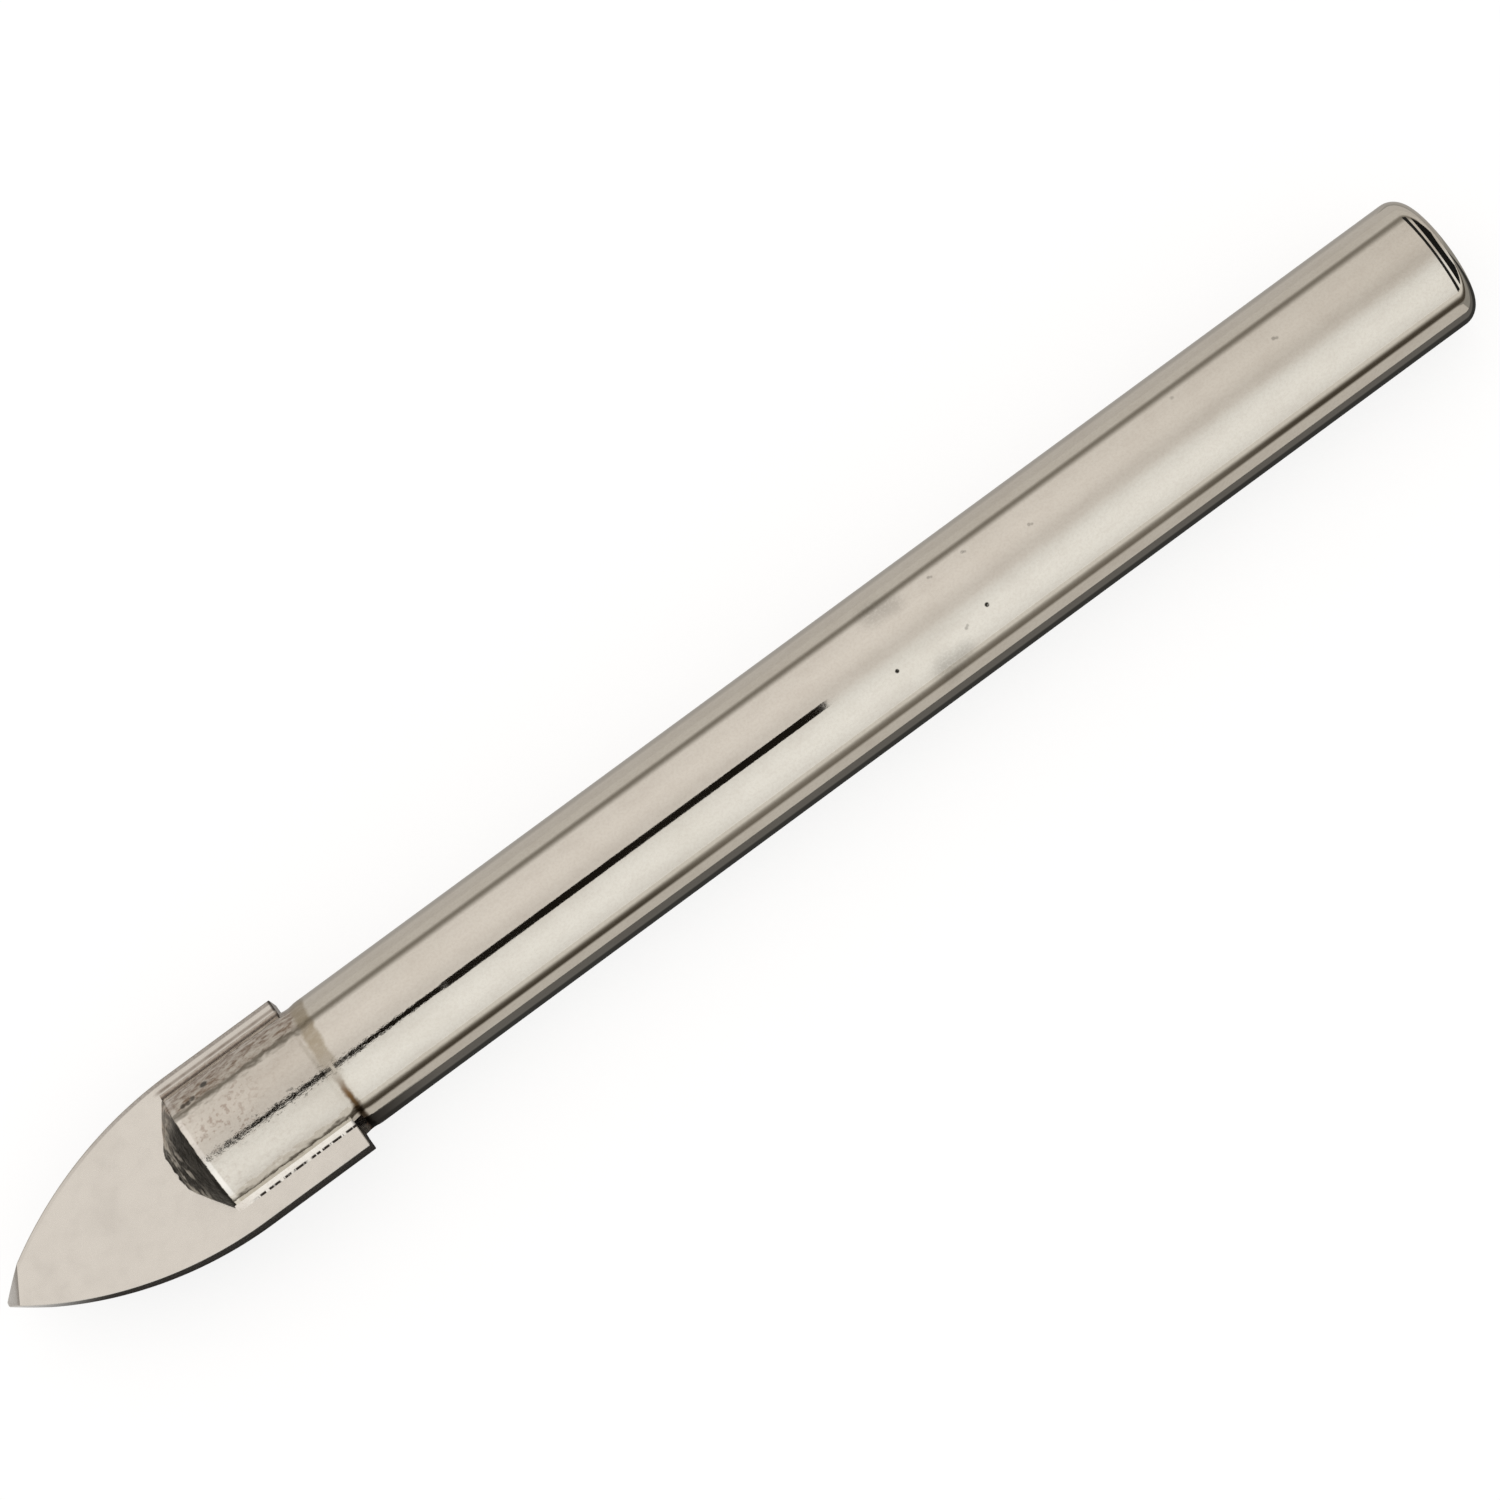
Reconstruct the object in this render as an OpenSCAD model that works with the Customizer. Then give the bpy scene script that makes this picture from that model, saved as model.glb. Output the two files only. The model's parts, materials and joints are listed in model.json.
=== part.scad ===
// Glass and tile drill bit: a round shank with a spear-pointed carbide blade brazed into its slotted end.
// It lies along X with the point at -X, the blade level, and the lowest line of the shank at z = 0.

/* [Shank] */
// Diameter of the round shank
shank_d = 6; // [5:0.1:7]
// Length of the whole bit, from the chisel point to the back end
overall_l = 72; // [60:1:120]
// Radius that rounds the edge of the back end
end_round = 0.8; // [0.2:0.1:1.4]
// Angle between the side of the blunt nose and the axis
nose_angle = 53; // [45:1:70]
// Diameter of the flat left at the front of the nose
nose_flat_d = 2.7; // [2.5:0.1:3.6]
// Width of the shallow ring turned into the shank at the end of the slot
ring_w = 0.7; // [0.6:0.05:1.2]
// Depth of that ring
ring_depth = 0.06; // [0.03:0.01:0.15]

/* [Blade] */
// Width of the blade across its two cutting edges
blade_w = 8; // [7.4:0.1:11]
// Thickness of the blade
blade_t = 2; // [1.4:0.05:2.2]
// Length of the blade, from the chisel point to its square back
blade_l = 15.6; // [14:0.1:20]
// Length of the arched cutting edges, from the chisel point to the parallel sides
arch_l = 10.5; // [8:0.1:13]
// Width of the chisel point
chisel_w = 0.2; // [0.1:0.05:0.5]
// Relief ground on the flanks behind the cutting edges
relief_angle = 12; // [4:1:15]
// Angle between a chisel facet and the flat of the blade
facet_tilt = 52; // [40:1:65]
// Angle by which a chisel facet is turned from square across the blade
facet_skew = 28; // [0:1:40]

/* [Brazed joint] */
// Length of the blade that the cheeks hold, from their shoulder to the blade's back
seat_l = 5.8; // [4.5:0.1:8]
// Thickness of the braze film on each face of the blade
braze_film = 0.05; // [0.03:0.01:0.1]
// Room between the blade's back and the end of the slot
back_gap = 0.4; // [0.2:0.05:0.8]
// Reach of the braze fillets where the cheeks stand on the blade
fillet_leg = 0.2; // [0.1:0.05:0.35]
// Depth by which the braze behind the blade stays below the shank's surface
braze_recess = 0.4; // [0.1:0.1:0.8]

/* [Hidden] */
$fn = 96;

// Places along the axis, with the middle of the bit's length at x = 0
tip_x = -overall_l / 2;
back_x = overall_l / 2;
blade_back_x = tip_x + blade_l;
shoulder_x = blade_back_x - seat_l;
slot_end_x = blade_back_x + back_gap;

// The shank and the slot that its cheeks leave for the blade
shank_r = shank_d / 2;
nose_r = nose_flat_d / 2;
nose_x = shoulder_x - (shank_r - nose_r) / tan(nose_angle);
slot_w = blade_t + 2 * braze_film;
ring_r = (pow(ring_w / 2, 2) + pow(ring_depth, 2)) / (2 * ring_depth);

// The pointed arch, drawn square to the relieved flanks
flank_h = (blade_w - blade_t * tan(relief_angle)) / 2 * cos(relief_angle);
chisel_h = chisel_w / 2 * cos(relief_angle);
arch_r = (pow(arch_l, 2) + pow(flank_h - chisel_h, 2)) / (2 * (flank_h - chisel_h));

// The corner where a cheek's round side meets the flat of the blade, seen along the axis
corner_y = sqrt(pow(shank_r, 2) - pow(blade_t / 2, 2));
corner_angle = asin(blade_t / 2 / shank_r);
fillet_toe = [corner_y + fillet_leg, blade_t / 2];
fillet_top_angle = corner_angle + fillet_leg / shank_r * 180 / PI;
fillet_top = shank_r * [cos(fillet_top_angle), sin(fillet_top_angle)];

// A reach beyond every cut
reach = 2 * blade_w + overall_l;

// Lifts a shape drawn about the X axis until the shank lies on z = 0
module on_table() {
    translate([0, 0, shank_r])
        children();
}

// Turns a profile of [radius, place along the axis] about the X axis, starting from the top line
module turned() {
    rotate([180, -90, 0])
        rotate_extrude()
            children();
}

// Half the lengthwise section of the rod, as it is turned before its slot is cut
module rod_profile() {
    polygon([
        [0, nose_x],
        [nose_r, nose_x],
        [shank_r, shoulder_x],
        [shank_r, back_x - end_round],
        [0, back_x - end_round]
    ]);
    translate([0, back_x - end_round])
        square([shank_r - end_round, end_round]);
    translate([shank_r - end_round, back_x - end_round])
        intersection() {
            circle(end_round);
            square(end_round);
        }
}

// The whole rod, with the shallow ring at the place where the slot will end
module rod() {
    turned()
        difference() {
            rod_profile();
            translate([shank_r + ring_r - ring_depth, slot_end_x])
                circle(ring_r);
        }
}

// The slot across the front of the rod
module slot() {
    translate([slot_end_x - reach, -reach / 2, -slot_w / 2])
        cube([reach, reach, slot_w]);
}

// The rod with its slot, which leaves the two cheeks
module slotted_rod() {
    difference() {
        rod();
        slot();
    }
}

// Outline of the blade on its flat: a pointed arch that runs into parallel sides
module spear_outline() {
    intersection() {
        translate([tip_x, -flank_h])
            square([arch_l, 2 * flank_h]);
        translate([tip_x + arch_l, flank_h - arch_r])
            circle(arch_r);
        translate([tip_x + arch_l, arch_r - flank_h])
            circle(arch_r);
    }
    translate([tip_x + arch_l, -flank_h])
        square([blade_l - arch_l, 2 * flank_h]);
}

// What one chisel facet grinds away at the point
module facet_cut() {
    translate([tip_x, 0, 0])
        rotate([0, 0, -facet_skew])
            rotate([0, -facet_tilt, 0])
                translate([-blade_w, -blade_w, 0])
                    cube(2 * blade_w);
}

// The ground blade, with its flanks leaning back from the cutting edges
module blade() {
    difference() {
        intersection() {
            rotate([relief_angle, 0, 0])
                linear_extrude(2 * blade_w, center = true)
                    spear_outline();
            translate([tip_x, -blade_w, -blade_t / 2])
                cube([blade_l, 2 * blade_w, blade_t]);
        }
        facet_cut();
        rotate([180, 0, 0])
            facet_cut();
    }
}

// Fillets of braze along the four corners of cheek and blade, drawn on into the cheeks and the blade
module fillets() {
    root = fillet_top + (fillet_top - fillet_toe) / 2;
    for (turn = [0, 180])
        for (side = [0, 1])
            rotate([turn, 0, 0])
                mirror([0, side, 0])
                    translate([shoulder_x, 0, 0])
                        rotate([90, 0, 90])
                            linear_extrude(seat_l)
                                polygon([fillet_toe, root, [root[0], 0], [fillet_toe[0], 0]]);
}

// Room that the blade takes up between the cheeks and the fillets
module blade_room() {
    translate([blade_back_x - reach, -reach / 2, -blade_t / 2])
        cube([reach, reach, blade_t]);
}

// Space behind the blade that the braze leaves open on both sides of the rod
module back_pockets() {
    for (side = [0, 1])
        mirror([0, side, 0])
            translate([blade_back_x, shank_r - braze_recess, -slot_w])
                cube([back_gap, shank_r, 2 * slot_w]);
}

module shank() {
    color("#d3cbc0")
        on_table()
            slotted_rod();
}

module carbide_tip() {
    color("#c9c3b9")
        on_table()
            blade();
}

module braze() {
    color("#8c6a4a")
        on_table()
            difference() {
                union() {
                    intersection() {
                        rod();
                        slot();
                    }
                    fillets();
                }
                slotted_rod();
                blade_room();
                back_pockets();
            }
}

shank();
carbide_tip();
braze();
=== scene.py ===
import json
import math

import bmesh
import bpy
from bpy.props import FloatProperty, FloatVectorProperty, PointerProperty
from mathutils import Matrix, Vector, noise


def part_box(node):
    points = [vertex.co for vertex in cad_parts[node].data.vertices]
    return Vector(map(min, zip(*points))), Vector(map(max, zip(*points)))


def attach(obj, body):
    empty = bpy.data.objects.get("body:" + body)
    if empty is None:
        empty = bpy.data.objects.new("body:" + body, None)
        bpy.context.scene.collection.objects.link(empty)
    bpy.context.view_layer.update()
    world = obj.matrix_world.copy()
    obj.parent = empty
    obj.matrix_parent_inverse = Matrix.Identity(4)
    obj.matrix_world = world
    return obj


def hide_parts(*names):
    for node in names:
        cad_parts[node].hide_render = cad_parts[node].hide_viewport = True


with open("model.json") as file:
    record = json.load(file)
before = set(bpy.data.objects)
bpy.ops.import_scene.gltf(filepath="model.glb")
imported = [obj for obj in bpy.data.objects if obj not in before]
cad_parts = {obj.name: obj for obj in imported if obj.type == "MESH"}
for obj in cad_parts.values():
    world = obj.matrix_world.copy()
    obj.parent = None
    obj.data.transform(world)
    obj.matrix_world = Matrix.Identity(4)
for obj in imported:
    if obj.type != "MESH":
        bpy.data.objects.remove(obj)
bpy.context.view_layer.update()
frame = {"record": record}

bl_info = {
    "name": "Glass and Tile Drill Bit",
    "version": (1, 0, 0),
    "blender": (4, 5, 0),
    "location": "View3D > Sidebar > Drill Bit",
    "description": "Builds a spear-pointed glass and tile drill bit on its packed solids",
    "category": "Add Mesh",
}

MM = 0.001
UP = Vector((0, 0, 1))
ALONG = Vector((1, 0, 0))

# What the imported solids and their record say, in metres
SHANK_LOW, SHANK_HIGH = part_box("shank")
BLADE_LOW, BLADE_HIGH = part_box("carbide_tip")
BRAZE_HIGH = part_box("braze")[1]
GRIP = frame["record"]["mounts"][0]
SHANK_RADIUS = GRIP["dims"]["r_mm"] * MM
AXIS_Z = GRIP["pos_m"][2]


def length(label, note, value):
    return FloatProperty(name=label, description=note, default=value, unit="LENGTH", precision=5)


def turn(label, note, degrees):
    return FloatProperty(name=label, description=note, default=math.radians(degrees), unit="ROTATION")


def colour(label, note, value):
    return FloatVectorProperty(name=label, description=note, default=value, subtype="COLOR", min=0, max=1)


class ShankSettings(bpy.types.PropertyGroup):
    """Sizes and colours of the plated shank"""

    radius: length("Radius", "Radius of the round shank", SHANK_RADIUS)
    axis_z: length("Axis height", "Height of the axis above the table", AXIS_Z)
    nose_x: length("Nose", "Place of the flat at the front of the nose", SHANK_LOW.x)
    back_x: length("Back end", "Place of the flat back end", SHANK_HIGH.x)
    slot_end_x: length("Slot end", "Place of the slot's closed end", BRAZE_HIGH.x)
    shoulder_x: length("Shoulder", "Place where the blunt nose meets the round cheeks", -26.2 * MM)
    nose_radius: length("Nose radius", "Radius of the flat at the front of the nose", 1.35 * MM)
    end_round: length("End rounding", "Radius of the back end's edge", 0.8 * MM)
    ring_width: length("Ring width", "Width of the shallow turned ring", 0.7 * MM)
    ring_depth: length("Ring depth", "Depth of the shallow turned ring", 0.06 * MM)
    slot_width: length("Slot width", "Width of the slot between the cheeks", 2.1 * MM)
    edge_break: length("Broken edge", "Width of the broken edge round the cheeks' front", 0.10 * MM)
    ragged: length("Ragged nose", "Depth by which the front of the nose is eaten away", 0.13 * MM)
    # Painted highlight: the worn edge's colour is brighter than the plating
    worn_edge_highlight: colour("Worn edge", "Colour of the bright edge behind the nose", (0.93, 0.90, 0.84))
    nickel: colour("Nickel", "Colour of the clean plating", (0.716, 0.681, 0.606))
    tint: colour("Heat tint", "Colour of the plating that the brazing heat has tinted", (0.40, 0.33, 0.275))
    stain: colour("Ring stain", "Colour of the dull ring at the slot's end", (0.41, 0.355, 0.265))
    rust: colour("Rust", "Colour of the brown line in the ring", (0.15, 0.085, 0.035))
    # Besides real soot, this colour gives the painted reflection of black pits along the slit line and the
    # painted shade at the blade's far back corner
    soot_and_painted_dark: colour("Soot", "Colour of specks and burnt residue", (0.022, 0.02, 0.016))


class BladeSettings(bpy.types.PropertyGroup):
    """Sizes and colours of the carbide blade"""

    tip_x: length("Tip", "Place of the chisel point", BLADE_LOW.x)
    back_x: length("Back", "Place of the blade's square back", BLADE_HIGH.x)
    width: length("Width", "Width across the two cutting edges", BLADE_HIGH.y - BLADE_LOW.y)
    thickness: length("Thickness", "Thickness of the blade", BLADE_HIGH.z - BLADE_LOW.z)
    arch: length("Arch", "Length of the arched cutting edges", 10.5 * MM)
    chisel: length("Chisel", "Width of the chisel point", 0.2 * MM)
    relief: turn("Relief", "Lean of the flanks behind the cutting edges", 12)
    facet_tilt: turn("Facet tilt", "Angle between a chisel facet and the flat", 52)
    facet_skew: turn("Facet skew", "Turn of a chisel facet from square across", 28)
    edge_wear: length("Edge wear", "Width of the worn line along the edges", 0.045 * MM)
    carbide: colour("Carbide", "Colour of the ground faces", (0.735, 0.703, 0.64))
    burnt: colour("Burnt strip", "Colour of the strip that the brazing heat has browned", (0.20, 0.155, 0.12))
    grind: colour("Ground flank", "Colour of the darker ground flanks and facets", (0.34, 0.315, 0.285))


class BrazeSettings(bpy.types.PropertyGroup):
    """Sizes and colours of the brazed joint"""

    fillet: length("Fillet", "Reach of the braze along a cheek and the blade", 0.2 * MM)
    recess: length("Recess", "Depth of the open pocket behind the blade", 0.4 * MM)
    bright: colour("Plated braze", "Colour of the fillets, which the plating covers", (0.79, 0.745, 0.675))
    rust: colour("Rust", "Colour of the oxidised braze at the slot's end", (0.20, 0.085, 0.03))
    # Besides real soot, this colour gives the painted shade in the pocket behind the blade
    soot_and_painted_dark: colour("Soot", "Colour of the burnt line along the fillets", (0.03, 0.024, 0.02))


class StageSettings(bpy.types.PropertyGroup):
    """The floor, the light tent and the camera"""

    camera_tilt: turn("Camera tilt", "Lean of the camera from straight above, towards -Y", 20.5)
    camera_lean: turn("Camera lean", "Lean of the camera towards the point of the bit", 3.05)
    camera_roll: turn("Camera roll", "Turn of the bit in the picture", 36.32)
    camera_distance: length("Camera distance", "Distance from the camera to the bit", 0.20)
    frame_width: length("Frame width", "Width of the picture at the bit's distance", 60.80 * MM)
    aim_x: length("Aim along", "Place along the bit in the middle of the picture", 1.244 * MM)
    aim_side: length("Aim across", "Place across the bit in the middle of the picture", 0.3205 * MM)
    white: colour("Tent cloth", "Colour of the tent's bright side", (1.0, 1.0, 1.0))
    shade: colour("Tent shade", "Colour of the tent's far side", (1.0, 0.956, 0.932))
    floor: colour("Floor", "Colour of the floor", (0.29, 0.29, 0.2885))


class DrillBitSettings(bpy.types.PropertyGroup):
    """All settings of the drill bit"""

    shank: PointerProperty(type=ShankSettings)
    blade: PointerProperty(type=BladeSettings)
    braze: PointerProperty(type=BrazeSettings)
    stage: PointerProperty(type=StageSettings)


def settings():
    return bpy.context.scene.drill_bit


class Graph:
    """Short names for the nodes that the materials need"""

    def __init__(self, name):
        self.material = bpy.data.materials.new(name)
        self.material.use_nodes = True
        self.tree = self.material.node_tree
        self.shader = self.tree.nodes["Principled BSDF"]
        self.place = self.tree.nodes.new("ShaderNodeTexCoord").outputs["Object"]
        split = self.add("ShaderNodeSeparateXYZ", self.place)
        self.x, self.y, self.z = split.outputs

    def add(self, kind, *inputs, **options):
        node = self.tree.nodes.new(kind)
        for key, value in options.items():
            setattr(node, key, value)
        for socket, value in zip(node.inputs, inputs):
            self.set(socket, value)
        return node

    def set(self, socket, value):
        if isinstance(value, bpy.types.NodeSocket):
            self.tree.links.new(value, socket)
        elif value is not None:
            socket.default_value = value

    def math(self, operation, a, b=None, c=None, clamp=False):
        return self.add("ShaderNodeMath", a, b, c, operation=operation, use_clamp=clamp).outputs[0]

    def times(self, first, *others):
        """The product of several shares"""
        for other in others:
            first = self.math("MULTIPLY", first, other)
        return first

    def ramp(self, value, low, high, start=0.0, end=1.0):
        """Goes smoothly from start to end as value goes from low to high"""
        node = self.add("ShaderNodeMapRange", value, low, high, start, end, interpolation_type="SMOOTHSTEP")
        return node.outputs[0]

    def band(self, value, low, high, soft):
        """One between low and high, and nothing beyond them"""
        rise = self.ramp(value, low - soft, low + soft)
        fall = self.ramp(value, high - soft, high + soft, 1.0, 0.0)
        return self.times(rise, fall)

    def noise(self, size, detail=3.0, stretch=(1, 1, 1), roughness=0.55, shift=(0, 0, 0)):
        """Noise with blobs about as large as size, in metres"""
        mapping = self.add("ShaderNodeMapping", self.place)
        mapping.inputs["Location"].default_value = shift
        mapping.inputs["Scale"].default_value = stretch
        node = self.add("ShaderNodeTexNoise")
        self.set(node.inputs["Vector"], mapping.outputs[0])
        node.inputs["Scale"].default_value = 1.0 / size
        node.inputs["Detail"].default_value = detail
        node.inputs["Roughness"].default_value = roughness
        return node.outputs["Fac"]

    def spot(self, point, radius, soft):
        """A round mark at a point of the surface"""
        away = self.add("ShaderNodeVectorMath", self.place, tuple(point), operation="DISTANCE")
        return self.ramp(away.outputs["Value"], radius - soft, radius + soft, 1.0, 0.0)

    def over(self, base, paint, *shares):
        """Lays a colour over the base, as strongly as the product of the shares"""
        node = self.tree.nodes.new("ShaderNodeMix")
        node.data_type = "RGBA"
        self.set(node.inputs["Factor"], self.times(*shares))
        for socket, value in ((node.inputs[6], base), (node.inputs[7], paint)):
            self.set(socket, value if isinstance(value, bpy.types.NodeSocket) else (*value, 1.0))
        return node.outputs[2]

    def bump(self, height, distance, below=None):
        node = self.tree.nodes.new("ShaderNodeBump")
        node.inputs["Strength"].default_value = 1.0
        node.inputs["Distance"].default_value = distance
        self.set(node.inputs["Height"], height)
        self.set(node.inputs["Normal"], below)
        return node.outputs[0]

    def glow(self, level):
        """A shader of one plain brightness"""
        node = self.tree.nodes.new("ShaderNodeEmission")
        node.inputs["Color"].default_value = (*level, 1)
        return node

    def show(self, shader):
        """Puts another shader in the place of the usual one"""
        self.tree.nodes.remove(self.shader)
        self.set(self.tree.nodes["Material Output"].inputs["Surface"], shader.outputs[0])

    def finish(self, base, roughness, normal):
        """Ends a metal finish"""
        self.set(self.shader.inputs["Base Color"], base)
        self.set(self.shader.inputs["Roughness"], roughness)
        self.set(self.shader.inputs["Normal"], normal)
        self.shader.inputs["Metallic"].default_value = 1.0
        return self.material


# Degrees from the shank's top line towards -Y, at which the camera slit's dark reflection lies; the black
# pits along it are a painted reflection
SLIT_REFLECTION_LINE = 20.5
# Marks on the shank: place along it in mm, degrees from its top line towards -Y, radius in mm,
# strength and softness
SPECKS = (
    (12.20, 32.2, 0.095, 1.0, 0.3), (7.71, 32.5, 0.088, 1.0, 0.3),
    (15.48, 1.3, 0.07, 0.40, 0.5), (15.60, 2.3, 0.06, 0.34, 0.5),
    (10.98, 37.6, 0.07, 0.36, 0.5), (11.08, 36.4, 0.06, 0.34, 0.5),
    (12.70, -13.6, 0.08, 0.38, 0.5), (12.80, -12.6, 0.06, 0.34, 0.5),
    (10.99, -13.1, 0.07, 0.36, 0.5), (11.09, -12.0, 0.06, 0.32, 0.5),
    (27.93, -2.9, 0.08, 0.42, 0.5), (28.05, -1.7, 0.07, 0.36, 0.5),
    (23.23, -13.7, 0.08, 0.28, 0.6),
    (9.13, -13.0, 0.45, 0.20, 0.8), (8.30, -17.5, 0.55, 0.22, 0.8),
    (9.55, 55.6, 0.60, 0.27, 0.8), (10.45, 52.6, 0.40, 0.20, 0.8),
    (-24.37, -35.8, 0.17, 0.85, 0.35), (-25.52, -28.5, 0.13, 0.75, 0.4),
    (-25.28, -28.0, 0.13, 0.75, 0.4), (-25.04, -29.5, 0.13, 0.75, 0.4),
)


def on_shank(x_mm, degrees):
    """A point on the shank's surface, at an angle from its top line towards -Y"""
    angle = math.radians(degrees)
    return Vector((x_mm * MM, -SHANK_RADIUS * math.sin(angle), AXIS_Z + SHANK_RADIUS * math.cos(angle)))


def plated_steel(p):
    g = Graph("plated_steel")
    back, shoulder = p.slot_end_x, p.shoulder_x
    cheek = g.ramp(g.x, back, back + 0.3 * MM, 1.0, 0.0)
    off_line = g.math("ABSOLUTE", g.math("SUBTRACT", g.y, on_shank(0, SLIT_REFLECTION_LINE).y))
    fine = g.noise(0.12 * MM, 4.0)
    coarse = g.noise(0.9 * MM, 3.0, (0.5, 1, 1))
    cloud = g.noise(2.4 * MM, 2.0, (0.6, 1, 1), shift=(0.2, 0.4, 0))
    streaks = g.noise(0.22 * MM, 4.0, (0.45, 1, 1), 0.65, (0.1, 0.6, 0))
    scale = g.noise(0.20 * MM, 4.0, (0.45, 0.9, 0.9), 0.65)
    base = g.over(p.nickel, p.tint, g.ramp(coarse, 0.40, 0.75, 0.0, 0.11))
    base = g.over(base, p.tint, g.ramp(fine, 0.36, 0.70, 0.0, 0.13))
    base = g.over(base, p.stain, g.ramp(cloud, 0.48, 0.72, 0.0, 0.07))
    base = heated_cheeks(g, p, base, cheek, coarse, cloud)
    # Painted reflection: black pits along the slit's reflection line on the cheek
    base = slit_reflection_pits(g, p, base, off_line)
    base = browned_side(g, p, base, streaks)
    base, stained = stained_ring(g, p, base, streaks)
    grainy = g.ramp(fine, 0.3, 0.5, 0.6, 1.0)
    for x_mm, degrees, size, share, soft in SPECKS:
        mark = g.spot(on_shank(x_mm, degrees), size * MM, soft * size * MM)
        base = g.over(base, p.soot_and_painted_dark, mark, grainy, share)
    base, nose = burnt_nose(g, p, base, scale)
    # Polish, duller where the plating is tinted, stained or burnt
    smear = g.noise(1.6 * MM, 3.0, (0.35, 1, 1), shift=(0.3, 0.1, 0))
    roughness = g.ramp(smear, 0.35, 0.7, 0.035, 0.06)
    for share, dull in ((cheek, 0.03), (stained, 0.14), (nose, 0.28)):
        roughness = g.math("ADD", roughness, g.times(share, dull))
    # Pits that fade towards the back end, ripples of the cheeks, and scale on the nose
    pits = g.noise(0.20 * MM, 4.0, (0.7, 1, 1), 0.6)
    worn = g.times(
        g.ramp(g.x, shoulder, back, 0.8, 0.55),
        g.ramp(g.x, back + 1.5 * MM, back + 6.0 * MM, 1.0, 0.10),
        g.ramp(off_line, 0.4 * MM, 1.1 * MM, 1.0, 0.2),
    )
    normal = g.bump(g.times(pits, worn), 0.0125 * MM)
    waves = g.noise(0.8 * MM, 2.0, (0.9, 1, 1), shift=(0.6, 0.6, 0))
    rippled = g.times(cheek, g.ramp(off_line, 0.3 * MM, 1.0 * MM))
    normal = g.bump(g.times(waves, rippled), 0.036 * MM, normal)
    normal = g.bump(g.times(scale, nose), 0.10 * MM, normal)
    return g.finish(base, roughness, normal)


def heated_cheeks(g, p, base, cheek, coarse, cloud):
    """Grey and brown pits where the brazing heat and the flux have roughened the cheeks"""
    shoulder = p.shoulder_x
    warm = g.ramp(g.x, shoulder + 0.2 * MM, shoulder + 1.6 * MM)
    base = g.over(base, p.rust, cheek, warm, g.ramp(cloud, 0.3, 0.7, 0.05, 0.12))
    spots = g.noise(0.20 * MM, 4.0, (0.8, 1, 1), 0.6, (0.4, 0.3, 0))
    pitted = g.times(g.ramp(spots, 0.49, 0.62, 0.0, 0.8), g.ramp(coarse, 0.40, 0.60, 0.1, 1.0))
    ahead = g.ramp(g.x, shoulder + 2.2 * MM, shoulder + 4.2 * MM, 1.0, 0.2)
    zone = g.times(ahead, cheek, g.ramp(g.y, -1.3 * MM, -0.7 * MM, 0.35, 1.0))
    return g.over(base, p.tint, pitted, zone)


def slit_reflection_pits(g, p, base, off_line):
    """Black pits along a line of the upper cheek, where the camera slit's dark reflection lies: a painted
    reflection
    """
    grain = g.noise(0.17 * MM, 3.0, (0.6, 1, 1), 0.6, (0.7, 0, 0.2))
    black = g.times(
        g.ramp(grain, 0.59, 0.64),
        g.ramp(off_line, 0.08 * MM, 0.45 * MM, 1.0, 0.0),
        g.ramp(g.x, p.slot_end_x - 0.8 * MM, p.slot_end_x + 2.0 * MM, 1.0, 0.0),
        g.ramp(g.z, p.axis_z + 1.5 * MM, p.axis_z + 2.0 * MM),
        g.ramp(g.x, p.shoulder_x + 0.6 * MM, p.shoulder_x + 1.2 * MM),
    )
    return g.over(base, p.soot_and_painted_dark, black, 0.85)


def browned_side(g, p, base, streaks):
    """Brown tint along the far side of the upper cheek"""
    side = g.times(
        g.band(g.y, 1.25 * MM, 2.75 * MM, 0.2 * MM),
        g.ramp(g.z, p.axis_z, p.axis_z + 0.6 * MM),
        g.ramp(g.x, p.slot_end_x - 0.1 * MM, p.slot_end_x + 0.7 * MM, 1.0, 0.0),
    )
    base = g.over(base, p.tint, side, g.ramp(streaks, 0.36, 0.60, 0.05, 0.9))
    return g.over(base, p.rust, side, g.ramp(streaks, 0.50, 0.66, 0.0, 0.6))


def stained_ring(g, p, base, streaks):
    """The ring at the slot's end: a dull, slanted stain on the far side and a brown line on the near side"""
    back = p.slot_end_x
    wander = g.math("MULTIPLY_ADD", g.noise(0.5 * MM, 3.0), 0.3 * MM, -0.15 * MM)
    ring_x = g.math("ADD", g.math("MULTIPLY_ADD", g.y, -0.06, g.x), wander)
    stain = g.band(ring_x, back - 0.06 * MM, back + 0.56 * MM, 0.11 * MM)
    stained = g.times(stain, g.ramp(g.y, -1.9 * MM, 0.2 * MM, 0.12, 1.0))
    base = g.over(base, p.stain, stained, g.ramp(streaks, 0.3, 0.65, 0.75, 1.0))
    line = g.band(ring_x, back + 0.10 * MM, back + 0.38 * MM, 0.10 * MM)
    base = g.over(base, p.rust, line, g.ramp(g.y, -2.2 * MM, -1.0 * MM, 1.0, 0.0))
    base = g.over(base, p.soot_and_painted_dark, line, g.ramp(g.y, -2.75 * MM, -2.1 * MM, 0.8, 0.0))
    return base, stained


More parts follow.
